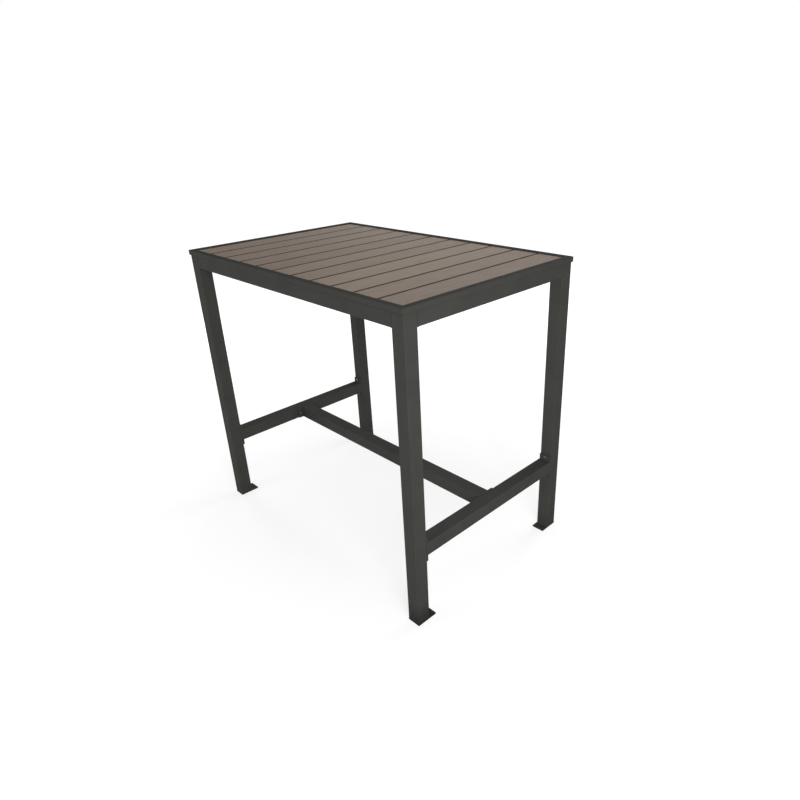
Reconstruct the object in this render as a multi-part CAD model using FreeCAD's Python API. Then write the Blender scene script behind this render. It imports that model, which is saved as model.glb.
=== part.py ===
import FreeCAD
import Part
import math
import os

# A bar-height table: four square legs and an H of stretchers, bolted together
# through plates welded on the tubes' ends, round a top of slats in a mitred rim.
# +X runs along the table, +Y across it from front to back, +Z up.
# The origin is on the floor, under the middle of the top. Lengths are millimetres.

# Whole table, measured over the rim
TABLE_LENGTH = 1216.0
TABLE_DEPTH = 788.0
TABLE_HEIGHT = 1100.0

# Rim: hollow bars round the slats, standing out past the frame below
RIM_WIDTH = 22.0
RIM_HEIGHT = 18.0
RIM_WALL = 2.0
RIM_EDGE_RADIUS = 1.5
RIM_CORNER_RADIUS = 3.0
RIM_OVERHANG = 4.5

# Slats: solid boards across the table, resting on the aprons and the rails
SLAT_COUNT = 11
SLAT_GAP = 6.0
SLAT_END_GAP = 2.0
SLAT_THICKNESS = 15.0
SLAT_EDGE_CHAMFER = 1.0

# Legs and stretchers are cut from one square tube
TUBE_SIZE = 50.0
TUBE_WALL = 2.5
TUBE_CORNER_RADIUS = 2.5

# Aprons between the legs, flush with their outer faces
APRON_THICKNESS = 25.0
APRON_HEIGHT = 46.5
APRON_WALL = 2.0
APRON_CORNER_RADIUS = 2.0

# Rails under the slats, between the left and right aprons
RAIL_WIDTH = 40.0
RAIL_HEIGHT = 20.0
RAIL_WALL = 1.5

# Foot plates under the legs, each with a tab and a hole for bolting to a floor
FOOT_PLATE_THICKNESS = 5.0
FOOT_TAB_LENGTH = 30.0
FOOT_HOLE_RADIUS = 3.5

# Stretchers: height of their centre line, and the plates on their ends
STRETCHER_Z = 290.0
PLATE_THICKNESS = 5.0
PLATE_TAB_LENGTH = 22.5
PLATE_CORNER_RADIUS = 3.0

# Bolts through the stretchers' plates, and the threaded inserts that take them
STRETCHER_BOLT_RADIUS = 4.0
STRETCHER_HEAD_RADIUS = 7.0
STRETCHER_HEAD_HEIGHT = 4.4
STRETCHER_SOCKET_RADIUS = 2.5
STRETCHER_INSERT_RADIUS = 5.5
STRETCHER_INSERT_LENGTH = 15.0

# Smaller bolts and inserts for the aprons' plates
APRON_BOLT_RADIUS = 3.0
APRON_HEAD_RADIUS = 5.25
APRON_HEAD_HEIGHT = 3.3
APRON_SOCKET_RADIUS = 2.0
APRON_INSERT_RADIUS = 4.5
APRON_INSERT_LENGTH = 7.0

# A button head's flat top, straight rim and socket, as shares of its radius and its height
HEAD_FLAT_SHARE = 0.6
HEAD_RIM_SHARE = 0.3
SOCKET_DEPTH_SHARE = 0.6

# Flat sides of what is hexagonal, the screws included, and of a bolt and its hole
HEX_SIDES = 6
BOLT_SIDES = 8

# Screws up through the rails into the slats, and the slat left above their ends
SCREW_RADIUS = 2.0
SCREW_COVER = 5.0
SCREW_HEAD_RADIUS = 4.0
SCREW_HEAD_HEIGHT = 2.4

# Room round a shank in a plain hole, and round a thread or an insert in its own
HOLE_CLEARANCE = 0.5
THREAD_CLEARANCE = 0.1
# Every cut runs this far past the faces that it opens
OVERRUN = 1.0

# Places worked out from the sizes above
FRAME_X = TABLE_LENGTH / 2 - RIM_OVERHANG
FRAME_Y = TABLE_DEPTH / 2 - RIM_OVERHANG
LEG_X = FRAME_X - TUBE_SIZE / 2
LEG_Y = FRAME_Y - TUBE_SIZE / 2
LEG_INNER_X = FRAME_X - TUBE_SIZE
LEG_INNER_Y = FRAME_Y - TUBE_SIZE
DECK_Z = TABLE_HEIGHT - RIM_HEIGHT
APRON_X = FRAME_X - APRON_THICKNESS / 2
APRON_Y = FRAME_Y - APRON_THICKNESS / 2
APRON_Z = DECK_Z - APRON_HEIGHT / 2
SLAT_FIELD = TABLE_LENGTH - 2 * RIM_WIDTH
SLAT_WIDTH = (SLAT_FIELD - (SLAT_COUNT + 1) * SLAT_GAP) / SLAT_COUNT
SLAT_LENGTH = TABLE_DEPTH - 2 * (RIM_WIDTH + SLAT_END_GAP)
SCREW_BITE = SLAT_THICKNESS - SCREW_COVER
# The apron's plate stands out past the apron, and its bolts are centred on what stands out
APRON_BOLT_INSET = (TUBE_SIZE - APRON_THICKNESS) / 2
# The bolts of two aprons meet at right angles inside a leg, so they take turns in height
LONG_APRON_LEVELS = (0, 2)
SHORT_APRON_LEVELS = (1, 3)

LEFT_RIGHT = (("left", -1), ("right", 1))
FRONT_BACK = (("front", -1), ("back", 1))
RAIL_NAMES = ("front", "back")

X_AXIS = FreeCAD.Vector(1, 0, 0)
Y_AXIS = FreeCAD.Vector(0, 1, 0)
Z_AXIS = FreeCAD.Vector(0, 0, 1)
# A bar's own width, height and run, turned to run along the table, across it or up
RUN_X = FreeCAD.Rotation(Y_AXIS, Z_AXIS, X_AXIS, "ZXY")
RUN_Y = FreeCAD.Rotation(X_AXIS, Z_AXIS, -Y_AXIS, "ZXY")
RUN_Z = FreeCAD.Rotation()


def point(x, y, z):
    return FreeCAD.Vector(x, y, z)


def rounded_rectangle(width, height, radius):
    """A face in the XY plane, centred on the origin, with its corners rounded."""
    if radius <= 0:
        corners = [point(x * width / 2, y * height / 2, 0) for x, y in ((-1, -1), (1, -1), (1, 1), (-1, 1))]
        return Part.Face(Part.makePolygon(corners + corners[:1]))
    edges = []
    for quarter in range(4):
        turn = quarter * math.pi / 2
        side_x = 1 if quarter in (0, 3) else -1
        side_y = 1 if quarter in (0, 1) else -1
        centre = point(side_x * (width / 2 - radius), side_y * (height / 2 - radius), 0)
        on_arc = [centre + point(radius * math.cos(turn + a), radius * math.sin(turn + a), 0)
                  for a in (0, math.pi / 4, math.pi / 2)]
        if edges:
            edges.append(Part.LineSegment(edges[-1].EndPoint, on_arc[0]))
        edges.append(Part.Arc(*on_arc))
    edges.append(Part.LineSegment(edges[-1].EndPoint, edges[0].StartPoint))
    return Part.Face(Part.Wire([edge.toShape() for edge in edges]))


def chamfered_rectangle(width, height, chamfer):
    """A face in the XY plane, centred on the origin, with its corners cut at 45 degrees."""
    corners = []
    for side_x, side_y in ((1, 1), (-1, 1), (-1, -1), (1, -1)):
        cut = [point(side_x * (width / 2 - chamfer), side_y * height / 2, 0),
               point(side_x * width / 2, side_y * (height / 2 - chamfer), 0)]
        # Taken the same way round at every corner
        corners += cut if side_x != side_y else cut[::-1]
    return Part.Face(Part.makePolygon(corners + corners[:1]))


def run_of(profile, run, length, centre):
    """A solid of one profile all along its run, centred on a point."""
    shape = profile.extrude(Z_AXIS * length)
    shape.translate(-Z_AXIS * (length / 2))
    shape.Placement = FreeCAD.Placement(centre, run).multiply(shape.Placement)
    return shape


def bar(run, length, width, height, radius, centre):
    """A solid bar with its four long edges rounded, centred on a point."""
    return run_of(rounded_rectangle(width, height, radius), run, length, centre)


def tube(run, length, width, height, wall, radius, centre):
    """A bar with a bore that leaves an even wall."""
    outside = bar(run, length, width, height, radius, centre)
    bore_radius = max(radius - wall, 0.0)
    bore = bar(run, length + 2 * OVERRUN, width - 2 * wall, height - 2 * wall, bore_radius, centre)
    return outside.cut(bore)


def ring(sides, radius, z):
    """A polygon whose flat sides lie at the radius from the Z axis."""
    corner = radius / math.cos(math.pi / sides)
    turns = [2 * math.pi * side / sides for side in range(sides)]
    corners = [point(corner * math.cos(turn), corner * math.sin(turn), z) for turn in turns]
    return Part.makePolygon(corners + corners[:1])


def prism(sides, radius, low, high):
    return Part.Face(ring(sides, radius, low)).extrude(Z_AXIS * (high - low))


def pointing(shape, seat, outward):
    """A fastener drawn along Z, set on its seat with its head outward."""
    shape.Placement = FreeCAD.Placement(seat, FreeCAD.Rotation(Z_AXIS, outward))
    return shape


def bolt(radius, length, head_radius, head_height, socket_radius, seat, outward):
    """A button-head bolt: its head sits on its seat and its shank runs the other way."""
    rim_z = head_height * HEAD_RIM_SHARE
    socket_z = head_height * (1 - SOCKET_DEPTH_SHARE)
    shank = prism(BOLT_SIDES, radius, -length, 0)
    rim = prism(BOLT_SIDES, head_radius, 0, rim_z)
    flat_top = ring(BOLT_SIDES, head_radius * HEAD_FLAT_SHARE, head_height)
    dome = Part.makeLoft([ring(BOLT_SIDES, head_radius, rim_z), flat_top], True, True)
    socket = prism(HEX_SIDES, socket_radius, socket_z, head_height + OVERRUN)
    return pointing(shank.fuse([rim, dome]).removeSplitter().cut(socket), seat, outward)


def slat_screw(seat, outward):
    """A screw whose hexagonal head sits under a rail."""
    shank = prism(HEX_SIDES, SCREW_RADIUS, -(RAIL_HEIGHT + SCREW_BITE), 0)
    head = prism(HEX_SIDES, SCREW_HEAD_RADIUS, 0, SCREW_HEAD_HEIGHT)
    return pointing(shank.fuse(head), seat, outward)


def insert(outer_radius, bolt_radius, length, mouth, outward):
    """A threaded sleeve with a hexagonal body, its mouth flush with the wall that holds it."""
    sleeve = pointing(prism(HEX_SIDES, outer_radius, -length, 0), mouth, outward)
    return sleeve.cut(hole(BOLT_SIDES, bolt_radius + THREAD_CLEARANCE, length + OVERRUN, mouth, outward))


def hole(sides, radius, depth, mouth, outward):
    """The cutter for a fastener's hole that runs in from its mouth, against outward."""
    return pointing(prism(sides, radius, -depth, OVERRUN), mouth, outward)


def drilled(shape, sides, radius, thickness, seats, outward):
    """The shape with a hole right through the wall or plate at each seat."""
    for seat in seats:
        shape = shape.cut(hole(sides, radius, thickness + OVERRUN, seat, outward))
    return shape


def spread(index, count, pitch):
    """The place of one of a row of things centred on zero."""
    return (index - (count - 1) / 2) * pitch


def pair_about(middle, axis, pitch):
    """Two points a pitch apart along an axis, about their middle."""
    return [middle + axis * spread(place, 2, pitch) for place in (0, 1)]


def at_levels(middle, levels):
    """The points at some of the levels that the aprons' bolts share evenly."""
    count = len(LONG_APRON_LEVELS + SHORT_APRON_LEVELS)
    return [middle + Z_AXIS * spread(level, count, APRON_HEIGHT / count) for level in levels]


def long_apron_seats(end_x, end_y):
    """Mouths on a leg's inner face for the bolts of the front or back apron."""
    middle = point(end_x * LEG_INNER_X, end_y * (LEG_INNER_Y + APRON_BOLT_INSET), APRON_Z)
    return at_levels(middle, LONG_APRON_LEVELS)


def short_apron_seats(end_x, end_y):
    middle = point(end_x * (LEG_INNER_X + APRON_BOLT_INSET), end_y * LEG_INNER_Y, APRON_Z)
    return at_levels(middle, SHORT_APRON_LEVELS)


def side_seats(end_x, end_y):
    """Mouths on a leg's inner face for the bolts of a side stretcher's plate."""
    middle = point(end_x * LEG_X, end_y * LEG_INNER_Y, STRETCHER_Z)
    return pair_about(middle, Z_AXIS, TUBE_SIZE + PLATE_TAB_LENGTH)


def centre_seats(end_x):
    """Mouths on a side stretcher's inner face for the centre stretcher's plate."""
    middle = point(end_x * LEG_INNER_X, 0, STRETCHER_Z)
    return pair_about(middle, Y_AXIS, TUBE_SIZE + PLATE_TAB_LENGTH)


def leg(end_x, end_y):
    length = DECK_Z - FOOT_PLATE_THICKNESS
    centre = point(end_x * LEG_X, end_y * LEG_Y, FOOT_PLATE_THICKNESS + length / 2)
    shape = tube(RUN_Z, length, TUBE_SIZE, TUBE_SIZE, TUBE_WALL, TUBE_CORNER_RADIUS, centre)
    inward_x = -X_AXIS * end_x
    inward_y = -Y_AXIS * end_y
    apron_hole = APRON_INSERT_RADIUS + THREAD_CLEARANCE
    shape = drilled(shape, HEX_SIDES, apron_hole, TUBE_WALL, long_apron_seats(end_x, end_y), inward_x)
    shape = drilled(shape, HEX_SIDES, apron_hole, TUBE_WALL, short_apron_seats(end_x, end_y), inward_y)
    stretcher_hole = STRETCHER_INSERT_RADIUS + THREAD_CLEARANCE
    return drilled(shape, HEX_SIDES, stretcher_hole, TUBE_WALL, side_seats(end_x, end_y), inward_y)


def foot_plate(end_x, end_y):
    length = TUBE_SIZE + FOOT_TAB_LENGTH
    centre = point(end_x * LEG_X, end_y * (FRAME_Y - length / 2), FOOT_PLATE_THICKNESS / 2)
    shape = bar(RUN_Z, FOOT_PLATE_THICKNESS, TUBE_SIZE, length, 0, centre)
    foot = point(end_x * LEG_X, end_y * (LEG_INNER_Y - FOOT_TAB_LENGTH / 2), -OVERRUN)
    return shape.cut(Part.makeCylinder(FOOT_HOLE_RADIUS, FOOT_PLATE_THICKNESS + 2 * OVERRUN, foot))


def long_apron(end_y):
    length = 2 * (LEG_INNER_X - PLATE_THICKNESS)
    centre = point(0, end_y * APRON_Y, APRON_Z)
    return tube(RUN_X, length, APRON_THICKNESS, APRON_HEIGHT, APRON_WALL, APRON_CORNER_RADIUS, centre)


def short_apron(end_x):
    length = 2 * (LEG_INNER_Y - PLATE_THICKNESS)
    centre = point(end_x * APRON_X, 0, APRON_Z)
    return tube(RUN_Y, length, APRON_THICKNESS, APRON_HEIGHT, APRON_WALL, APRON_CORNER_RADIUS, centre)


def long_apron_plate(end_x, end_y):
    """The plate on one end of the front or back apron, as wide as the leg it meets."""
    centre = point(end_x * (LEG_INNER_X - PLATE_THICKNESS / 2), end_y * LEG_Y, APRON_Z)
    shape = bar(RUN_X, PLATE_THICKNESS, TUBE_SIZE, APRON_HEIGHT, 0, centre)
    radius = APRON_BOLT_RADIUS + HOLE_CLEARANCE
    seats = long_apron_seats(end_x, end_y)
    return drilled(shape, BOLT_SIDES, radius, PLATE_THICKNESS, seats, X_AXIS * end_x)


def short_apron_plate(end_x, end_y):
    centre = point(end_x * LEG_X, end_y * (LEG_INNER_Y - PLATE_THICKNESS / 2), APRON_Z)
    shape = bar(RUN_Y, PLATE_THICKNESS, TUBE_SIZE, APRON_HEIGHT, 0, centre)
    radius = APRON_BOLT_RADIUS + HOLE_CLEARANCE
    seats = short_apron_seats(end_x, end_y)
    return drilled(shape, BOLT_SIDES, radius, PLATE_THICKNESS, seats, Y_AXIS * end_y)


def rim_bar(run, length, end, across):
    """One bar of the rim, cut at 45 degrees where it meets its neighbours.

    It runs along RUN_X or RUN_Y at the given end (-1 or 1) of the other axis.
    across is the top's whole size along that other axis.
    """
    offset = end * (across / 2 - RIM_WIDTH / 2)
    z = TABLE_HEIGHT - RIM_HEIGHT / 2
    centre = point(0, offset, z) if run is RUN_X else point(offset, 0, z)
    shape = tube(run, length, RIM_WIDTH, RIM_HEIGHT, RIM_WALL, RIM_EDGE_RADIUS, centre)
    outer = end * across / 2
    inner = outer - end * RIM_WIDTH
    outline = [(-length / 2, outer), (length / 2, outer), (length / 2 - RIM_WIDTH, inner),
               (RIM_WIDTH - length / 2, inner)]
    if run is RUN_X:
        corners = [point(along, side, DECK_Z) for along, side in outline]
    else:
        corners = [point(side, along, DECK_Z) for along, side in outline]
    mitre = Part.Face(Part.makePolygon(corners + corners[:1])).extrude(Z_AXIS * RIM_HEIGHT)
    top_centre = point(0, 0, z)
    footprint = bar(RUN_Z, RIM_HEIGHT, TABLE_LENGTH, TABLE_DEPTH, RIM_CORNER_RADIUS, top_centre)
    return shape.common(mitre).common(footprint)


def slat_centre_x(index):
    return spread(index, SLAT_COUNT, SLAT_WIDTH + SLAT_GAP)


def rail_centre_y(rail):
    """The rails stand evenly between the front and back aprons."""
    room = 2 * (FRAME_Y - APRON_THICKNESS)
    return spread(rail, len(RAIL_NAMES), room / (len(RAIL_NAMES) + 1))


def slat(index):
    centre = point(slat_centre_x(index), 0, DECK_Z + SLAT_THICKNESS / 2)
    profile = chamfered_rectangle(SLAT_WIDTH, SLAT_THICKNESS, SLAT_EDGE_CHAMFER)
    shape = run_of(profile, RUN_Y, SLAT_LENGTH, centre)
    for rail in range(len(RAIL_NAMES)):
        mouth = point(slat_centre_x(index), rail_centre_y(rail), DECK_Z)
        depth = SCREW_BITE + THREAD_CLEARANCE
        shape = shape.cut(hole(HEX_SIDES, SCREW_RADIUS + THREAD_CLEARANCE, depth, mouth, -Z_AXIS))
    return shape


def support_rail(rail):
    length = 2 * (FRAME_X - APRON_THICKNESS)
    centre = point(0, rail_centre_y(rail), DECK_Z - RAIL_HEIGHT / 2)
    shape = tube(RUN_X, length, RAIL_WIDTH, RAIL_HEIGHT, RAIL_WALL, 0, centre)
    mouths = [point(slat_centre_x(index), rail_centre_y(rail), DECK_Z) for index in range(SLAT_COUNT)]
    return drilled(shape, HEX_SIDES, SCREW_RADIUS + HOLE_CLEARANCE, RAIL_HEIGHT, mouths, Z_AXIS)


def side_stretcher(end_x):
    length = 2 * (LEG_INNER_Y - PLATE_THICKNESS)
    centre = point(end_x * LEG_X, 0, STRETCHER_Z)
    shape = tube(RUN_Y, length, TUBE_SIZE, TUBE_SIZE, TUBE_WALL, TUBE_CORNER_RADIUS, centre)
    radius = STRETCHER_INSERT_RADIUS + THREAD_CLEARANCE
    return drilled(shape, HEX_SIDES, radius, TUBE_WALL, centre_seats(end_x), -X_AXIS * end_x)


def centre_stretcher():
    length = 2 * (LEG_INNER_X - PLATE_THICKNESS)
    centre = point(0, 0, STRETCHER_Z)
    return tube(RUN_X, length, TUBE_SIZE, TUBE_SIZE, TUBE_WALL, TUBE_CORNER_RADIUS, centre)


def side_plate(end_x, end_y):
    """The upright plate on one end of a side stretcher, bolted to a leg."""
    centre = point(end_x * LEG_X, end_y * (LEG_INNER_Y - PLATE_THICKNESS / 2), STRETCHER_Z)
    height = TUBE_SIZE + 2 * PLATE_TAB_LENGTH
    shape = bar(RUN_Y, PLATE_THICKNESS, TUBE_SIZE, height, PLATE_CORNER_RADIUS, centre)
    radius = STRETCHER_BOLT_RADIUS + HOLE_CLEARANCE
    seats = side_seats(end_x, end_y)
    return drilled(shape, BOLT_SIDES, radius, PLATE_THICKNESS, seats, Y_AXIS * end_y)


def centre_plate(end_x):
    """The level plate on one end of the centre stretcher, bolted to a side stretcher."""
    centre = point(end_x * (LEG_INNER_X - PLATE_THICKNESS / 2), 0, STRETCHER_Z)
    width = TUBE_SIZE + 2 * PLATE_TAB_LENGTH
    shape = bar(RUN_X, PLATE_THICKNESS, width, TUBE_SIZE, PLATE_CORNER_RADIUS, centre)
    radius = STRETCHER_BOLT_RADIUS + HOLE_CLEARANCE
    return drilled(shape, BOLT_SIDES, radius, PLATE_THICKNESS, centre_seats(end_x), X_AXIS * end_x)


def stretcher_joints():
    """Every (mouth, outward) pair where a stretcher's bolt enters an insert."""
    joints = []
    for _, end_x in LEFT_RIGHT:
        joints += [(seat, -X_AXIS * end_x) for seat in centre_seats(end_x)]
        for _, end_y in FRONT_BACK:
            joints += [(seat, -Y_AXIS * end_y) for seat in side_seats(end_x, end_y)]
    return joints


def apron_joints():
    """Every (mouth, outward) pair where an apron's bolt enters an insert."""
    joints = []
    for _, end_x in LEFT_RIGHT:
        for _, end_y in FRONT_BACK:
            joints += [(seat, -X_AXIS * end_x) for seat in long_apron_seats(end_x, end_y)]
            joints += [(seat, -Y_AXIS * end_y) for seat in short_apron_seats(end_x, end_y)]
    return joints


def bolts(joints, radius, insert_length, head_radius, head_height, socket_radius):
    """A group of bolts, each through a plate and as deep as its insert."""
    return Part.makeCompound([
        bolt(radius, PLATE_THICKNESS + insert_length, head_radius, head_height, socket_radius,
             mouth + outward * PLATE_THICKNESS, outward)
        for mouth, outward in joints])


def inserts(joints, outer_radius, bolt_radius, length):
    return Part.makeCompound([insert(outer_radius, bolt_radius, length, mouth, outward)
                              for mouth, outward in joints])


def slat_screws():
    return Part.makeCompound([
        slat_screw(point(slat_centre_x(index), rail_centre_y(rail), DECK_Z - RAIL_HEIGHT), -Z_AXIS)
        for rail in range(len(RAIL_NAMES)) for index in range(SLAT_COUNT)])


def build():
    """Every node of the table, by name."""
    nodes = {}
    for y_name, end_y in FRONT_BACK:
        for x_name, end_x in LEFT_RIGHT:
            corner = y_name + "_" + x_name
            nodes["leg_" + corner] = leg(end_x, end_y)
            nodes["foot_plate_" + corner] = foot_plate(end_x, end_y)
            nodes["stretcher_plate_" + corner] = side_plate(end_x, end_y)
            nodes["apron_" + y_name + "_plate_" + x_name] = long_apron_plate(end_x, end_y)
            nodes["apron_" + x_name + "_plate_" + y_name] = short_apron_plate(end_x, end_y)
        nodes["apron_" + y_name] = long_apron(end_y)
        nodes["rim_" + y_name] = rim_bar(RUN_X, TABLE_LENGTH, end_y, TABLE_DEPTH)
    for x_name, end_x in LEFT_RIGHT:
        nodes["apron_" + x_name] = short_apron(end_x)
        nodes["rim_" + x_name] = rim_bar(RUN_Y, TABLE_DEPTH, end_x, TABLE_LENGTH)
        nodes["stretcher_" + x_name] = side_stretcher(end_x)
        nodes["stretcher_centre_plate_" + x_name] = centre_plate(end_x)
    nodes["stretcher_centre"] = centre_stretcher()
    for rail, name in enumerate(RAIL_NAMES):
        nodes["support_rail_" + name] = support_rail(rail)
    for index in range(SLAT_COUNT):
        nodes["slat_%02d" % (index + 1)] = slat(index)
    nodes["stretcher_bolts"] = bolts(stretcher_joints(), STRETCHER_BOLT_RADIUS, STRETCHER_INSERT_LENGTH,
                                     STRETCHER_HEAD_RADIUS, STRETCHER_HEAD_HEIGHT,
                                     STRETCHER_SOCKET_RADIUS)
    nodes["stretcher_inserts"] = inserts(stretcher_joints(), STRETCHER_INSERT_RADIUS,
                                         STRETCHER_BOLT_RADIUS, STRETCHER_INSERT_LENGTH)
    nodes["apron_bolts"] = bolts(apron_joints(), APRON_BOLT_RADIUS, APRON_INSERT_LENGTH,
                                 APRON_HEAD_RADIUS, APRON_HEAD_HEIGHT, APRON_SOCKET_RADIUS)
    nodes["apron_inserts"] = inserts(apron_joints(), APRON_INSERT_RADIUS,
                                     APRON_BOLT_RADIUS, APRON_INSERT_LENGTH)
    nodes["slat_screws"] = slat_screws()
    return nodes


os.makedirs("parts", exist_ok=True)
for node, shape in build().items():
    shape.exportStep("parts/" + node + ".step")
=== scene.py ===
import math

import bmesh
import bpy
from mathutils import Matrix, Vector


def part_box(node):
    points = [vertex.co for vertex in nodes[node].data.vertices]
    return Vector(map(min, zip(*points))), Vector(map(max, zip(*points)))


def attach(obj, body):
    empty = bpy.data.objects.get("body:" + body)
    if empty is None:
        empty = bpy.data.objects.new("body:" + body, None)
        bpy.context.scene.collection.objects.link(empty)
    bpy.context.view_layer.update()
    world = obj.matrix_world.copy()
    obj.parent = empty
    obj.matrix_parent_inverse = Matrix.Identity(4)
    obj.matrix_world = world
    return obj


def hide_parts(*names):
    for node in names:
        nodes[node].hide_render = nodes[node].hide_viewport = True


# A bar-height table of powder-coated aluminium with wood-effect slats. The CAD nodes keep their
# meshes and get procedural finishes. The bolts and screws are replaced by finer ones, and weld
# beads are added. Lengths are metres, a colour is its linear red, green and blue, and a range is
# a pair of values.
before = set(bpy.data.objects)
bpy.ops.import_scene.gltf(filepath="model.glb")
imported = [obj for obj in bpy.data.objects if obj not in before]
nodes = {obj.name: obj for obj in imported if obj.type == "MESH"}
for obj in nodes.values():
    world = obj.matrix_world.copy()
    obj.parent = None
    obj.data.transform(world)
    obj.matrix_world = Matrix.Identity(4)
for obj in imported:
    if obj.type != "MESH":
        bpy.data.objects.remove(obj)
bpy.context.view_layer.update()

MM = 0.001
X, Y, Z = range(3)
BODY = "root"

# The photograph's camera, fitted to the table's edges
IMAGE_SIZE_PX = 800
FOCAL_LENGTH_PX = 614.26
OPTICAL_CENTRE_PX = (436.63, 401.84)
SENSOR_WIDTH_MM = 36.0
CAMERA_PLACE = Vector((1.7510, -1.4156, 1.5578))
CAMERA_TURN_DEG = 45.205
CAMERA_TILT_DEG = 64.653
CAMERA_ROLL_DEG = -1.655

# The surround is white to look at, and this strong as a light
SURROUND_LIGHT = 0.16
# The floor, as it is seen, has a colour, which takes the shadow, and a glow, which rises from its
# least strength at the table's middle to 1 at the white radius
FLOOR_HALF_SIZE = 14.0
FLOOR_COLOUR = (0.32, 0.32, 0.32)
FLOOR_LEAST_GLOW = 0.69
FLOOR_WHITE_RADIUS = 3.2
# The light that it throws back on the table comes from this colour
FLOOR_BOUNCE_COLOUR = (0.68, 0.68, 0.68)
# Name, place, width and power in watts of each soft box, all aimed at one point in the table
SOFT_BOXES = (
    ("light_near", (2.6, -1.5, 1.8), 1.2, 50.0),
    ("light_front", (-1.2, -3.3, 0.7), 1.8, 55.0),
    ("light_right", (3.4, -1.2, 1.7), 2.4, 45.0),
    ("light_back", (0.4, 4.2, 2.4), 2.4, 95.0),
    ("light_left", (-2.6, 3.0, 2.2), 2.4, 28.0),
    ("light_low_left", (-3.6, 0.0, 0.55), 1.0, 60.0),
    ("light_low_back", (0.0, 4.0, 0.55), 1.0, 35.0),
)
AIM = Vector((0.0, 0.0, 0.75))

# A noise keeps mostly within this range, and has this much detail where nothing else is said
NOISE_SPREAD = (0.3, 0.7)
NOISE_DETAIL = 2.0

# Powder coat: a matt charcoal skin with a fine grain, faint clouds and a few pale specks
COAT_DARK = (0.0450, 0.0448, 0.0414)
COAT_LIGHT = (0.0492, 0.0490, 0.0454)
COAT_CLOUD = 90.0 * MM
COAT_CLOUD_DETAIL = 3.0
COAT_CLOUD_RANGE = (0.35, 0.65)
COAT_GRAIN = 0.7 * MM
COAT_GRAIN_HEIGHT = 0.05 * MM
COAT_SPECK = (0.075, 0.075, 0.070)
COAT_SPECK_RANGE = (0.66, 0.76)
COAT_PEEL = 5.0 * MM
COAT_PEEL_HEIGHT = 0.06 * MM
COAT_ROUGHNESS = (0.88, 0.98)
COAT_SPECULAR = 0.05
# Painted shade darkens the coat in patches close to the floor, on one leg more than on the others
COAT_FOOT_SHADE = (0.016, 0.016, 0.015)
COAT_FOOT_SHADE_TOP = 90.0 * MM
COAT_FOOT_SHADE_PATCH_SIZE = 16.0 * MM
COAT_FOOT_SHADE_DETAIL = 4.0
COAT_FOOT_SHADE_RANGE = (0.2, 0.7)
COAT_FOOT_SHADE_STRENGTH = (0.6, 1.0)
COAT_FOOT_SHADE_SHARE = 0.25
COAT_DEEPER_FOOT_SHADE_SHARE = 1.0
DEEPER_FOOT_SHADE_NODES = ("leg_front_right", "foot_plate_front_right")
# The fine line left where the rim's bars are mitred, from its edge to its middle
MITRE_LINE = (0.35 * MM, 0.1 * MM)
MITRE_DEPTH = 0.15 * MM
MITRE_COLOUR = (0.020, 0.020, 0.019)

# Slats: brushed wood-effect polymer. A pattern's two sizes are across and along the slat.
SLAT_DARK = (0.218, 0.1695, 0.1275)
SLAT_LIGHT = (0.275, 0.2175, 0.1685)
SLAT_STREAK = (6.0 * MM, 90.0 * MM)
SLAT_STREAK_DETAIL = 3.0
SLAT_STREAK_RANGE = (0.33, 0.67)
SLAT_ROSE = (0.300, 0.214, 0.170)
SLAT_FIGURE = (26.0 * MM, 170.0 * MM)
SLAT_FIGURE_DISTORTION = 0.6
SLAT_FIGURE_RANGE = (0.45, 0.75)
SLAT_FIGURE_STRENGTH = (0.0, 0.5)
SLAT_BRUSH = (0.9 * MM, 22.0 * MM)
SLAT_BRUSH_RANGE = (0.52, 0.78)
SLAT_BRUSH_STRENGTH = (0.0, 0.6)
SLAT_BRUSH_HEIGHT = 0.10 * MM
SLAT_ROUGHNESS = (0.60, 0.72)
SLAT_SPECULAR = 0.15
# What each slat's colours are multiplied by, from left to right, and how far the patterns shift
# from one slat to the next, in features
SLAT_TINTS = (0.99, 0.98, 0.97, 0.96, 0.90, 1.02, 0.96, 1.10, 1.09, 0.98, 0.92)
SLAT_SHIFT = (3.1, 1.7, 0.0)
# Painted shade darkens a slat's sides and ends; the slat's own colour gives way to it between these
# depths in from its top and bottom faces
SLAT_SIDE_SHADE = (0.040, 0.022, 0.013)
SLAT_SIDE_SHADE_FADE = (0.1 * MM, 0.4 * MM)
# Painted shade along a slat's long edges, beside the gaps, from where it starts to where it is darkest,
# in from its side
SLAT_GAP_SHADE = (0.078, 0.049, 0.030)
SLAT_GAP_SHADE_REACH = (4.7 * MM, 1.6 * MM)

# The bolts' charcoal coat and the inserts' and screws' plain steel
METAL_SPECULAR = 0.5
BOLT_COAT = (0.045, 0.045, 0.043)
BOLT_COAT_LIGHTER = 1.4
BOLT_GRAIN = 0.4 * MM
BOLT_GRAIN_HEIGHT = 0.02 * MM
BOLT_ROUGHNESS = (0.34, 0.46)
STEEL_COLOUR = (0.55, 0.55, 0.54)
STEEL_DARKER = 0.8
STEEL_GRAIN = (0.3 * MM, 0.3 * MM, 4.0 * MM)
STEEL_GRAIN_HEIGHT = 0.01 * MM
STEEL_ROUGHNESS = (0.28, 0.42)

# Fasteners: the flat sides of a CAD bolt, of what is hexagonal and of what looks round
CAD_BOLT_SIDES = 8
HEX_SIDES = 6
ROUND_SIDES = 48
FASTENER_SHARP_DEG = 35.0
# Corners this close are one, and corners this close to a level lie at it
MERGE_REACH = 0.001 * MM
LEVEL_REACH = 0.01 * MM
LEVEL_DIGITS = 7
# A fastener's head is at least this many times as wide as its shank
HEAD_LEAST_RATIO = 1.2

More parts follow.
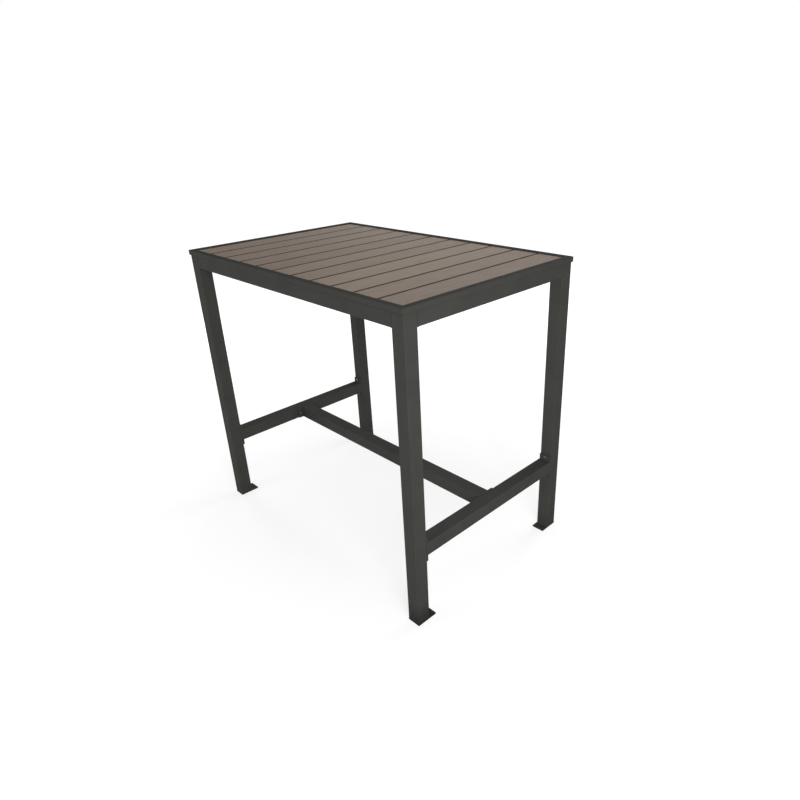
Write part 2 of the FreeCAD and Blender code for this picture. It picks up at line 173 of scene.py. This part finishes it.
# A button-head bolt: its tip's chamfer as a share of the shank's radius, then its seat, its edge,
# its rim's height and the flat round its socket as shares of the head
BOLT_TIP_CHAMFER_SHARE = 0.25
BUTTON_SEAT_SHARE = 0.97
BUTTON_EDGE_SHARE = 0.04
BUTTON_RIM_SHARE = 0.16
BUTTON_FLAT_SHARE = 0.56
BUTTON_DOME_STEPS = 7
# Its hexagonal socket has a round chamfer at its mouth and a shallow cone at its bottom
SOCKET_SHARE = 0.36
SOCKET_MOUTH_RATIO = 1.04
SOCKET_CHAMFER_SHARE = 0.07
SOCKET_DEPTH_SHARE = 0.58
SOCKET_CONE_SHARE = 0.3
SOCKET_CONE_DEPTH = 0.2 * MM

# A slat screw: a point and shank in shares of the CAD shank's radius
SCREW_TIP_SHARE = 0.1
SCREW_POINT_SHARE = 2.0
SCREW_SHANK_SHARE = 0.8
# Its head: a washer, wide at its edge, and a hexagon with a dished top, in shares of the CAD head
WASHER_HEIGHT_SHARE = 0.24
WASHER_EDGE_HEIGHT_SHARE = 0.7
WASHER_SEAT_SHARE = 1.02
WASHER_EDGE_SHARE = 1.04
WASHER_TOP_SHARE = 0.98
HEXAGON_SHARE = 0.76
HEXAGON_CHAMFER_SHARE = 0.1
HEXAGON_TOP_SHARE = 0.70
DISH_SHARE = 0.30
DISH_DEPTH_SHARE = 0.08
DISH_FLOOR_SHARE = 0.1

# A weld bead: a fillet's size, its flatness from 0, round, to 1, flat, and how thin its ends are
WELD_SIZE = 2.6 * MM
WELD_FLATNESS = 0.6
WELD_END_SHARE = 0.25
# Its ripples: their length, their depth as a share of the bead, and how far they bow, in ripples
WELD_RIPPLE = 2.0 * MM
WELD_RIPPLE_SHARE = 0.12
WELD_RIPPLE_BOW = 0.5
# How deep its edges are sunk in the metal, and the power that keeps the sunk strips narrow
WELD_SINK = 0.1 * MM
WELD_SINK_POWER = 8
# The steps across it and along one ripple
WELD_ACROSS = 5
WELD_ALONG = 4
WELD_SHARP_DEG = 50.0
# How far in from a rail's corners its beads start
RAIL_WELD_INSET = 1.0 * MM

# A Mix node has sockets for every kind of value, and these are its colour ones
MIX_FIRST = 6
MIX_SECOND = 7
MIX_RESULT = 2


class Shader:
    """The node tree of a material or a world, with short ways to add to it."""

    def __init__(self, owner):
        owner.use_nodes = True
        self.tree = owner.node_tree

    def node(self, kind, **settings):
        """A new node with these settings."""
        made = self.tree.nodes.new(kind)
        for name, value in settings.items():
            setattr(made, name, value)
        return made

    def join(self, output, socket):
        """Links a node's output to a socket."""
        self.tree.links.new(output, socket)

    def ranged(self, value, source, target=(0.0, 1.0)):
        """A value carried over from one range to another, and kept within it."""
        made = self.node("ShaderNodeMapRange")
        made.inputs["From Min"].default_value = source[0]
        made.inputs["From Max"].default_value = source[1]
        made.inputs["To Min"].default_value = target[0]
        made.inputs["To Max"].default_value = target[1]
        self.join(value, made.inputs["Value"])
        return made.outputs["Result"]

    def maths(self, operation, first, second=0.0):
        """A calculation with a node's output and a number or another output."""
        made = self.node("ShaderNodeMath", operation=operation)
        self.join(first, made.inputs[0])
        if isinstance(second, bpy.types.NodeSocket):
            self.join(second, made.inputs[1])
        else:
            made.inputs[1].default_value = second
        return made.outputs["Value"]

    def seen_directly(self):
        """1 for the eye, a reflection and clear glass, and 0 for light that the object gets."""
        path = self.node("ShaderNodeLightPath")
        seen = path.outputs["Is Camera Ray"]
        for ray in ("Is Glossy Ray", "Is Transmission Ray"):
            seen = self.maths("MAXIMUM", seen, path.outputs[ray])
        return seen


class Finish(Shader):
    """A material of the table, with the patterns that its finishes share."""

    def __init__(self, name):
        self.material = bpy.data.materials.new(name)
        super().__init__(self.material)
        self.surface = self.tree.nodes["Principled BSDF"]
        self.place = self.node("ShaderNodeTexCoord").outputs["Object"]

    def along(self, axis):
        """The place of a point along X, Y or Z."""
        made = self.node("ShaderNodeSeparateXYZ")
        self.join(self.place, made.inputs["Vector"])
        return made.outputs[axis]

    def stretched(self, sizes, shift):
        """Coordinates in which a pattern's features have these sizes along X, Y and Z."""
        made = self.node("ShaderNodeMapping")
        made.inputs["Scale"].default_value = [1.0 / size for size in sizes]
        made.inputs["Location"].default_value = shift
        self.join(self.place, made.inputs["Vector"])
        return made.outputs["Vector"]

    def noise(self, sizes, detail=NOISE_DETAIL, shift=(0.0, 0.0, 0.0), distortion=0.0):
        """A noise from 0 to 1 whose features have these sizes."""
        made = self.node("ShaderNodeTexNoise")
        made.inputs["Scale"].default_value = 1.0
        made.inputs["Detail"].default_value = detail
        made.inputs["Distortion"].default_value = distortion
        self.join(self.stretched(sizes, shift), made.inputs["Vector"])
        return made.outputs["Fac"]

    def colour(self, share, first, second):
        """A colour between two, each a fixed colour or a node's output."""
        made = self.node("ShaderNodeMix", data_type="RGBA")
        self.join(share, made.inputs["Factor"])
        for socket, value in ((MIX_FIRST, first), (MIX_SECOND, second)):
            if isinstance(value, bpy.types.NodeSocket):
                self.join(value, made.inputs[socket])
            else:
                made.inputs[socket].default_value = (*value, 1.0)
        return made.outputs[MIX_RESULT]

    def relief(self, height, depth, under=None):
        """Surface normals that a pattern of this depth bends, on top of another relief."""
        made = self.node("ShaderNodeBump")
        made.inputs["Distance"].default_value = depth
        self.join(height, made.inputs["Height"])
        if under:
            self.join(under, made.inputs["Normal"])
        return made.outputs["Normal"]

    def finish(self, colour, roughness, normal, specular, metallic=0.0):
        """Joins what varies to the surface, sets on it what doesn't, and returns the material."""
        self.join(colour, self.surface.inputs["Base Color"])
        self.join(roughness, self.surface.inputs["Roughness"])
        self.join(normal, self.surface.inputs["Normal"])
        self.surface.inputs["Specular IOR Level"].default_value = specular
        self.surface.inputs["Metallic"].default_value = metallic
        return self.material


def even(size):
    """The sizes of a pattern that is alike in all directions."""
    return (size, size, size)


def along_slat(across, along):
    """The sizes of a pattern on the slats, which run along Y."""
    return (across, along, across)


def scaled(colour, ratio):
    """A colour made lighter or darker."""
    return [part * ratio for part in colour]


def mitre_lines(coat):
    """1 on the lines where the rim's bars meet at its corners, and 0 elsewhere."""
    rim_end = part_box("rim_right")[1][X]
    rim_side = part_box("rim_back")[1][Y]
    in_from_end = coat.maths("SUBTRACT", coat.maths("ABSOLUTE", coat.along(X)), rim_end)
    in_from_side = coat.maths("SUBTRACT", coat.maths("ABSOLUTE", coat.along(Y)), rim_side)
    apart = coat.maths("ABSOLUTE", coat.maths("SUBTRACT", in_from_end, in_from_side))
    return coat.ranged(apart, MITRE_LINE)


def powder_coat(name, foot_shade_share=COAT_FOOT_SHADE_SHARE, mitred=False):
    """The frame's finish, with painted shade in patches near the floor, and with the rim's mitre lines
    if asked.
    """
    coat = Finish(name)
    grain = coat.noise(even(COAT_GRAIN))
    peel = coat.noise(even(COAT_PEEL))
    cloud = coat.ranged(coat.noise(even(COAT_CLOUD), COAT_CLOUD_DETAIL), COAT_CLOUD_RANGE)
    specks = coat.ranged(grain, COAT_SPECK_RANGE)
    colour = coat.colour(specks, coat.colour(cloud, COAT_DARK, COAT_LIGHT), COAT_SPECK)
    roughness = coat.ranged(peel, NOISE_SPREAD, COAT_ROUGHNESS)
    normal = coat.relief(grain, COAT_GRAIN_HEIGHT, under=coat.relief(peel, COAT_PEEL_HEIGHT))
    # Painted shade: the coat darkens in patches towards the floor
    low = coat.ranged(coat.along(Z), (0.0, COAT_FOOT_SHADE_TOP), (1.0, 0.0))
    patches = coat.noise(even(COAT_FOOT_SHADE_PATCH_SIZE), COAT_FOOT_SHADE_DETAIL)
    foot_shade_strength = coat.ranged(patches, COAT_FOOT_SHADE_RANGE, COAT_FOOT_SHADE_STRENGTH)
    foot_shade = coat.maths("MULTIPLY", coat.maths("MULTIPLY", low, foot_shade_strength), foot_shade_share)
    colour = coat.colour(foot_shade, colour, COAT_FOOT_SHADE)
    if mitred:
        line = mitre_lines(coat)
        colour = coat.colour(line, colour, MITRE_COLOUR)
        normal = coat.relief(line, -MITRE_DEPTH, under=normal)
    return coat.finish(colour, roughness, normal, COAT_SPECULAR)


def wood_effect(index, box):
    """The finish of one slat: its own stretch of grain, its own tint, and painted shade along its long
    edges and on its sides and ends.
    """
    wood = Finish("wood_effect_%02d" % (index + 1))
    (left, _, bottom), (right, _, top) = box
    shift = [part * index for part in SLAT_SHIFT]
    streaks = wood.noise(along_slat(*SLAT_STREAK), SLAT_STREAK_DETAIL, shift)
    brush = wood.noise(along_slat(*SLAT_BRUSH), NOISE_DETAIL, shift)
    figure = wood.noise(along_slat(*SLAT_FIGURE), NOISE_DETAIL, shift, SLAT_FIGURE_DISTORTION)
    dark, light, rose = (scaled(each, SLAT_TINTS[index]) for each in (SLAT_DARK, SLAT_LIGHT, SLAT_ROSE))
    colour = wood.colour(wood.ranged(streaks, SLAT_STREAK_RANGE), dark, light)
    colour = wood.colour(wood.ranged(figure, SLAT_FIGURE_RANGE, SLAT_FIGURE_STRENGTH), colour, rose)
    colour = wood.colour(wood.ranged(brush, SLAT_BRUSH_RANGE, SLAT_BRUSH_STRENGTH), colour, dark)
    # Painted shade darkens the top along the long edges, beside the gaps
    from_middle = wood.maths("ABSOLUTE", wood.maths("SUBTRACT", wood.along(X), (left + right) / 2))
    gap_shade_edges = [(right - left) / 2 - reach for reach in SLAT_GAP_SHADE_REACH]
    colour = wood.colour(wood.ranged(from_middle, gap_shade_edges), colour, SLAT_GAP_SHADE)
    # Painted shade on the sides and ends, which stand in the gaps
    thin, thick = SLAT_SIDE_SHADE_FADE
    near_top = wood.ranged(wood.along(Z), (top - thick, top - thin))
    near_bottom = wood.ranged(wood.along(Z), (bottom + thick, bottom + thin))
    colour = wood.colour(wood.maths("MAXIMUM", near_top, near_bottom), SLAT_SIDE_SHADE, colour)
    roughness = wood.ranged(brush, NOISE_SPREAD, SLAT_ROUGHNESS)
    return wood.finish(colour, roughness, wood.relief(brush, SLAT_BRUSH_HEIGHT), SLAT_SPECULAR)


def bolt_coat():
    """The bolts' finish: a coat like the frame's, smoother and a little shinier."""
    coat = Finish("bolt_coat")
    grain = coat.noise(even(BOLT_GRAIN))
    colour = coat.colour(grain, BOLT_COAT, scaled(BOLT_COAT, BOLT_COAT_LIGHTER))
    roughness = coat.ranged(grain, NOISE_SPREAD, BOLT_ROUGHNESS)
    return coat.finish(colour, roughness, coat.relief(grain, BOLT_GRAIN_HEIGHT), METAL_SPECULAR)


def plain_steel():
    """The finish of the inserts and the slat screws: bare steel with a fine grain."""
    steel = Finish("plain_steel")
    grain = steel.noise(STEEL_GRAIN)
    colour = steel.colour(grain, scaled(STEEL_COLOUR, STEEL_DARKER), STEEL_COLOUR)
    roughness = steel.ranged(grain, NOISE_SPREAD, STEEL_ROUGHNESS)
    normal = steel.relief(grain, STEEL_GRAIN_HEIGHT)
    return steel.finish(colour, roughness, normal, METAL_SPECULAR, metallic=1.0)


def dress(obj, material):
    """Gives every slot of an object this material."""
    if not obj.material_slots:
        obj.data.materials.append(material)
    for slot in obj.material_slots:
        slot.material = material


def new_object(name, mesh, material):
    """An object made of a bmesh, in this material."""
    data = bpy.data.meshes.new(name)
    mesh.to_mesh(data)
    mesh.free()
    data.materials.append(material)
    made = bpy.data.objects.new(name, data)
    bpy.context.scene.collection.objects.link(made)
    return made


def new_piece(name, mesh, material, sharp_deg):
    """A piece of the table, smooth but for the edges that are sharper than this angle."""
    piece = new_object(name, mesh, material)
    piece.data.shade_smooth()
    piece.data.set_sharp_from_angle(angle=math.radians(sharp_deg))
    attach(piece, BODY)
    return piece


def skin(mesh, loops):
    """Joins loops of corners, one after the other, into a skin that is closed at both ends."""
    for low, high in zip(loops, loops[1:]):
        for place in range(len(low)):
            after = (place + 1) % len(low)
            mesh.faces.new((low[place], low[after], high[after], high[place]))
    mesh.faces.new(list(reversed(loops[0])))
    mesh.faces.new(loops[-1])


def islands(node):
    """The separate solids of a CAD node, each as a list of its corners."""
    mesh = bmesh.new()
    mesh.from_mesh(nodes[node].data)
    bmesh.ops.remove_doubles(mesh, verts=mesh.verts, dist=MERGE_REACH)
    left = set(mesh.verts)
    found = []
    for start in mesh.verts:
        if start not in left:
            continue
        left.discard(start)
        group, waiting = [], [start]
        while waiting:
            corner = waiting.pop()
            group.append(corner.co.copy())
            for edge in corner.link_edges:
                other = edge.other_vert(corner)
                if other in left:
                    left.discard(other)
                    waiting.append(other)
        found.append(group)
    mesh.free()
    return found


def fastener_sizes(corners):
    """A fastener's seat, its outward direction, shank length, head height, and both radii.

    It lies along X, Y or Z, and its head is the wider end. The radii, the shank's and then the
    head's, reach to its corners.
    """
    low = Vector([min(corner[axis] for corner in corners) for axis in (X, Y, Z)])
    high = Vector([max(corner[axis] for corner in corners) for axis in (X, Y, Z)])
    run = max((X, Y, Z), key=lambda axis: high[axis] - low[axis])
    middle = (low + high) / 2

    def radius(level):
        """How far the corners at one level reach from the fastener's axis."""
        reaches = []
        for corner in corners:
            if abs(corner[run] - level) < LEVEL_REACH:
                off_axis = corner - middle
                off_axis[run] = 0
                reaches.append(off_axis.length)
        return max(reaches)

    head_is_high = radius(high[run]) > radius(low[run])
    tip, top = (low[run], high[run]) if head_is_high else (high[run], low[run])
    shank_radius = radius(tip)
    # The seat is the level nearest the tip at which the fastener is wider than its shank
    levels = {round(corner[run], LEVEL_DIGITS) for corner in corners}
    wide_levels = [level for level in levels if radius(level) > shank_radius * HEAD_LEAST_RATIO]
    seat_level = min(wide_levels, key=lambda level: abs(level - tip))
    seat = middle.copy()
    seat[run] = seat_level
    outward = axis_vector(run, 1 if head_is_high else -1)
    return seat, outward, abs(seat_level - tip), abs(top - seat_level), shank_radius, radius(seat_level)


def axis_vector(axis, sign):
    """The direction along one axis, up it or down it."""
    return Vector([sign if each == axis else 0 for each in (X, Y, Z)])


def round_of(radius):
    """A circle's outline: its radius in each direction."""
    return lambda turn: radius


def hexagon_of(half_width):
    """A hexagon's outline, half_width from its middle to each flat."""
    side = 2 * math.pi / HEX_SIDES
    return lambda turn: half_width / math.cos((turn % side) - side / 2)


def ring_of(mesh, height, outline):
    """Corners in a ring about Z, the outline giving the radius in each direction."""
    made = []
    for step in range(ROUND_SIDES):
        turn = 2 * math.pi * step / ROUND_SIDES
        radius = outline(turn)
        made.append(mesh.verts.new((radius * math.cos(turn), radius * math.sin(turn), height)))
    return made


def button_head_rings(length, height, shank, head):
    """A socket bolt's rings (height and outline), from its tip over its head into its socket."""
    # The radii reach to the CAD bolt's corners, and the round bolt fits between its flats
    flat_share = math.cos(math.pi / CAD_BOLT_SIDES)
    shank *= flat_share
    head *= flat_share
    chamfer = shank * BOLT_TIP_CHAMFER_SHARE
    rings = [(-length, round_of(shank - chamfer)),
             (chamfer - length, round_of(shank)),
             (0.0, round_of(shank)),
             (0.0, round_of(head * BUTTON_SEAT_SHARE)),
             (height * BUTTON_EDGE_SHARE, round_of(head))]
    rim = height * BUTTON_RIM_SHARE
    for step in range(BUTTON_DOME_STEPS + 1):
        turn = step / BUTTON_DOME_STEPS * math.pi / 2
        radius = head * (BUTTON_FLAT_SHARE + (1 - BUTTON_FLAT_SHARE) * math.cos(turn))
        rings.append((rim + (height - rim) * math.sin(turn), round_of(radius)))
    socket = head * SOCKET_SHARE
    mouth = socket / math.cos(math.pi / HEX_SIDES) * SOCKET_MOUTH_RATIO
    bottom = height * (1 - SOCKET_DEPTH_SHARE)
    rings += [(height, round_of(mouth)),
              (height * (1 - SOCKET_CHAMFER_SHARE), hexagon_of(socket)),
              (bottom, hexagon_of(socket)),
              (bottom - SOCKET_CONE_DEPTH, round_of(socket * SOCKET_CONE_SHARE))]
    return rings


def washer_head_rings(length, height, shank, head):
    """A slat screw's rings (height and outline), from its point to the dish in its hexagon."""
    # From the head's corners to its flats
    head *= math.cos(math.pi / HEX_SIDES)
    point = shank * SCREW_POINT_SHARE
    washer = height * WASHER_HEIGHT_SHARE
    hexagon = hexagon_of(head * HEXAGON_SHARE)
    return [(-length, round_of(shank * SCREW_TIP_SHARE)),
            (point - length, round_of(shank * SCREW_SHANK_SHARE)),
            (0.0, round_of(shank * SCREW_SHANK_SHARE)),
            (0.0, round_of(head * WASHER_SEAT_SHARE)),
            (washer * WASHER_EDGE_HEIGHT_SHARE, round_of(head * WASHER_EDGE_SHARE)),
            (washer, round_of(head * WASHER_TOP_SHARE)),
            (washer, hexagon),
            (height * (1 - HEXAGON_CHAMFER_SHARE), hexagon),
            (height, round_of(head * HEXAGON_TOP_SHARE)),
            (height, round_of(head * DISH_SHARE)),
            (height * (1 - DISH_DEPTH_SHARE), round_of(head * DISH_FLOOR_SHARE))]


def finer_fasteners(name, node, rings_of, material):
    """A piece of finer fasteners in the places of a CAD node's plain ones."""
    mesh = bmesh.new()
    for corners in islands(node):
        seat, outward, length, height, shank, head = fastener_sizes(corners)
        loops = [ring_of(mesh, *ring) for ring in rings_of(length, height, shank, head)]
        skin(mesh, loops)
        turn = Vector((0, 0, 1)).rotation_difference(outward).to_matrix().to_4x4()
        made = [corner for loop in loops for corner in loop]
        bmesh.ops.transform(mesh, matrix=Matrix.Translation(seat) @ turn, verts=made)
    piece = new_piece(name, mesh, material, FASTENER_SHARP_DEG)
    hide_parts(node)


def weld_section(mesh, middle, size, ripples, first, second):
    """The corners round a bead at one place: one inside the metal, and the rest on its face.

    ripples is how many ripples of the bead lie before this place.
    """
    loop = [mesh.verts.new(middle - (first + second) * WELD_SINK)]
    for step in range(WELD_ACROSS + 1):
        turn = step / WELD_ACROSS * math.pi / 2
        bow = math.sin(2 * turn)
        ripple = abs(math.sin(math.pi * (ripples - WELD_RIPPLE_BOW * bow)))
        swell = 1 - WELD_RIPPLE_SHARE * (1 - ripple) * bow
        reach = size * swell / (math.cos(turn) + math.sin(turn)) ** WELD_FLATNESS
        off = first * (reach * math.cos(turn)) + second * (reach * math.sin(turn))
        sunk = first * math.sin(turn) ** WELD_SINK_POWER + second * math.cos(turn) ** WELD_SINK_POWER
        loop.append(mesh.verts.new(middle + off - sunk * WELD_SINK))
    return loop


def weld_bead(mesh, start, end, first, second):
    """A rippled fillet in the corner from start to end, between faces along two directions."""
    run = end - start
    steps = round(run.length / WELD_RIPPLE * WELD_ALONG)
    loops = []
    for step in range(steps + 1):
        far = run.length * step / steps
        # The bead thins out over its own size at both ends
        grown = min(1.0, min(far, run.length - far) / WELD_SIZE)
        size = WELD_SIZE * (WELD_END_SHARE + (1 - WELD_END_SHARE) * math.sqrt(1 - (1 - grown) ** 2))
        middle = start + run * (step / steps)
        loops.append(weld_section(mesh, middle, size, far / WELD_RIPPLE, first, second))
    skin(mesh, loops)


def bead_across_end(mesh, tube, along, end, across, side, inset=WELD_SIZE):
    """A bead across one end of a tube: on its face at side (-1 or 1) of the across axis.

    The tube runs along one axis and meets its plate at end (-1 or 1). inset keeps the bead off
    the tube's rounded corners.
    """
    low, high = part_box(tube)
    third = X + Y + Z - along - across
    start = Vector((0, 0, 0))
    start[along] = high[along] if end > 0 else low[along]
    start[across] = high[across] if side > 0 else low[across]
    start[third] = low[third] + inset
    stop = start.copy()
    stop[third] = high[third] - inset
    weld_bead(mesh, start, stop, axis_vector(across, side), axis_vector(along, -end))


def make_welds(material):
    """The beads that hold the tubes to their plates, where the two don't end flush."""
    beads = {group: bmesh.new() for group in ("stretchers", "aprons", "rails", "feet")}
    for end in (-1, 1):
        for side in (-1, 1):
            for tube in ("stretcher_left", "stretcher_right"):
                bead_across_end(beads["stretchers"], tube, Y, end, Z, side)
            bead_across_end(beads["stretchers"], "stretcher_centre", X, end, Y, side)
            for rail in ("support_rail_front", "support_rail_back"):
                bead_across_end(beads["rails"], rail, X, end, Y, side, RAIL_WELD_INSET)
        for rail in ("support_rail_front", "support_rail_back"):
            bead_across_end(beads["rails"], rail, X, end, Z, -1, RAIL_WELD_INSET)
        bead_across_end(beads["aprons"], "apron_front", X, end, Y, 1)
        bead_across_end(beads["aprons"], "apron_back", X, end, Y, -1)
        bead_across_end(beads["aprons"], "apron_left", Y, end, X, 1)
        bead_across_end(beads["aprons"], "apron_right", Y, end, X, -1)
    for leg in ("left", "right"):
        bead_across_end(beads["feet"], "leg_front_" + leg, Z, -1, Y, 1)
        bead_across_end(beads["feet"], "leg_back_" + leg, Z, -1, Y, -1)
    for group, mesh in beads.items():
        bmesh.ops.recalc_face_normals(mesh, faces=mesh.faces)
        new_piece("weld_beads_" + group, mesh, material, WELD_SHARP_DEG)


def dress_nodes(coat, steel):
    """Gives each CAD node its finish."""
    rim_coat = powder_coat("powder_coat_rim", mitred=True)
    # This coat has the deeper painted shade near the floor, for the near leg and its foot plate
    deeper_foot_shade_coat = powder_coat("powder_coat_deeper_foot_shade", COAT_DEEPER_FOOT_SHADE_SHARE)
    for name, obj in nodes.items():
        if name.startswith("slat_") and name != "slat_screws":
            dress(obj, wood_effect(int(name[-2:]) - 1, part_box(name)))
        elif name.endswith("_inserts"):
            dress(obj, steel)
        elif name.startswith("rim_"):
            dress(obj, rim_coat)
        elif name in DEEPER_FOOT_SHADE_NODES:
            dress(obj, deeper_foot_shade_coat)
        else:
            dress(obj, coat)


def make_table():
    """The dressed CAD nodes, the finer fasteners and the weld beads."""
    coat = powder_coat("powder_coat")
    steel = plain_steel()
    bolts = bolt_coat()
    dress_nodes(coat, steel)
    finer_fasteners("stretcher_socket_bolts", "stretcher_bolts", button_head_rings, bolts)
    finer_fasteners("apron_socket_bolts", "apron_bolts", button_head_rings, bolts)
    finer_fasteners("slat_washer_screws", "slat_screws", washer_head_rings, steel)
    make_welds(coat)


def make_surround():
    """A plain surround: white to look at, dimmer as a light."""
    world = bpy.data.worlds.new("surround")
    shader = Shader(world)
    background = shader.tree.nodes["Background"]
    background.inputs["Color"].default_value = (1.0, 1.0, 1.0, 1.0)
    strength = shader.ranged(shader.seen_directly(), (0.0, 1.0), (SURROUND_LIGHT, 1.0))
    shader.join(strength, background.inputs["Strength"])
    bpy.context.scene.world = world


def floor_paint():
    """The floor's material: shadow and glow for the eye, one plain colour for the table's light."""
    material = bpy.data.materials.new("floor_paint")
    shader = Shader(material)
    shader.tree.nodes.remove(shader.tree.nodes["Principled BSDF"])
    shadowed = shader.node("ShaderNodeBsdfDiffuse")
    shadowed.inputs["Color"].default_value = (*FLOOR_COLOUR, 1.0)
    reach = shader.node("ShaderNodeVectorMath", operation="LENGTH")
    shader.join(shader.node("ShaderNodeTexCoord").outputs["Object"], reach.inputs[0])
    whiter = shader.node("ShaderNodeMapRange", interpolation_type="SMOOTHSTEP")
    whiter.inputs["From Max"].default_value = FLOOR_WHITE_RADIUS
    whiter.inputs["To Min"].default_value = FLOOR_LEAST_GLOW
    shader.join(reach.outputs["Value"], whiter.inputs["Value"])
    glow = shader.node("ShaderNodeEmission")
    shader.join(whiter.outputs["Result"], glow.inputs["Strength"])
    seen = shader.node("ShaderNodeAddShader")
    shader.join(shadowed.outputs["BSDF"], seen.inputs[0])
    shader.join(glow.outputs["Emission"], seen.inputs[1])
    bounce = shader.node("ShaderNodeBsdfDiffuse")
    bounce.inputs["Color"].default_value = (*FLOOR_BOUNCE_COLOUR, 1.0)
    choice = shader.node("ShaderNodeMixShader")
    shader.join(shader.seen_directly(), choice.inputs["Fac"])
    shader.join(bounce.outputs["BSDF"], choice.inputs[1])
    shader.join(seen.outputs["Shader"], choice.inputs[2])
    shader.join(choice.outputs["Shader"], shader.tree.nodes["Material Output"].inputs["Surface"])
    return material


def make_floor():
    """A wide pale floor that keeps the table's shadow."""
    mesh = bmesh.new()
    bmesh.ops.create_grid(mesh, x_segments=1, y_segments=1, size=FLOOR_HALF_SIZE)
    new_object("floor", mesh, floor_paint())


def make_soft_boxes():
    """The square lamps, which the camera doesn't see."""
    for name, place, width, power in SOFT_BOXES:
        data = bpy.data.lights.new(name, "AREA")
        data.shape = "SQUARE"
        data.size = width
        data.energy = power
        lamp = bpy.data.objects.new(name, data)
        bpy.context.scene.collection.objects.link(lamp)
        lamp.location = place
        lamp.rotation_mode = "QUATERNION"
        lamp.rotation_quaternion = (AIM - lamp.location).to_track_quat("-Z", "Y")
        lamp.visible_camera = False


def turned(degrees, axis):
    """A turn about an axis, as a 4 by 4 matrix."""
    return Matrix.Rotation(math.radians(degrees), 4, axis)


def make_camera():
    """The photograph's camera, with its lens and its frame's shift."""
    image_middle_px = IMAGE_SIZE_PX / 2
    data = bpy.data.cameras.new("camera")
    data.sensor_width = SENSOR_WIDTH_MM
    data.lens = FOCAL_LENGTH_PX / IMAGE_SIZE_PX * SENSOR_WIDTH_MM
    data.shift_x = (image_middle_px - OPTICAL_CENTRE_PX[0]) / IMAGE_SIZE_PX
    data.shift_y = (OPTICAL_CENTRE_PX[1] - image_middle_px) / IMAGE_SIZE_PX
    camera = bpy.data.objects.new("camera", data)
    bpy.context.scene.collection.objects.link(camera)
    turns = turned(CAMERA_TURN_DEG, "Z") @ turned(CAMERA_TILT_DEG, "X") @ turned(CAMERA_ROLL_DEG, "Z")
    camera.matrix_world = Matrix.Translation(CAMERA_PLACE) @ turns
    bpy.context.scene.camera = camera


make_table()
make_surround()
make_floor()
make_soft_boxes()
make_camera()
bpy.context.scene.view_settings.view_transform = "Standard"
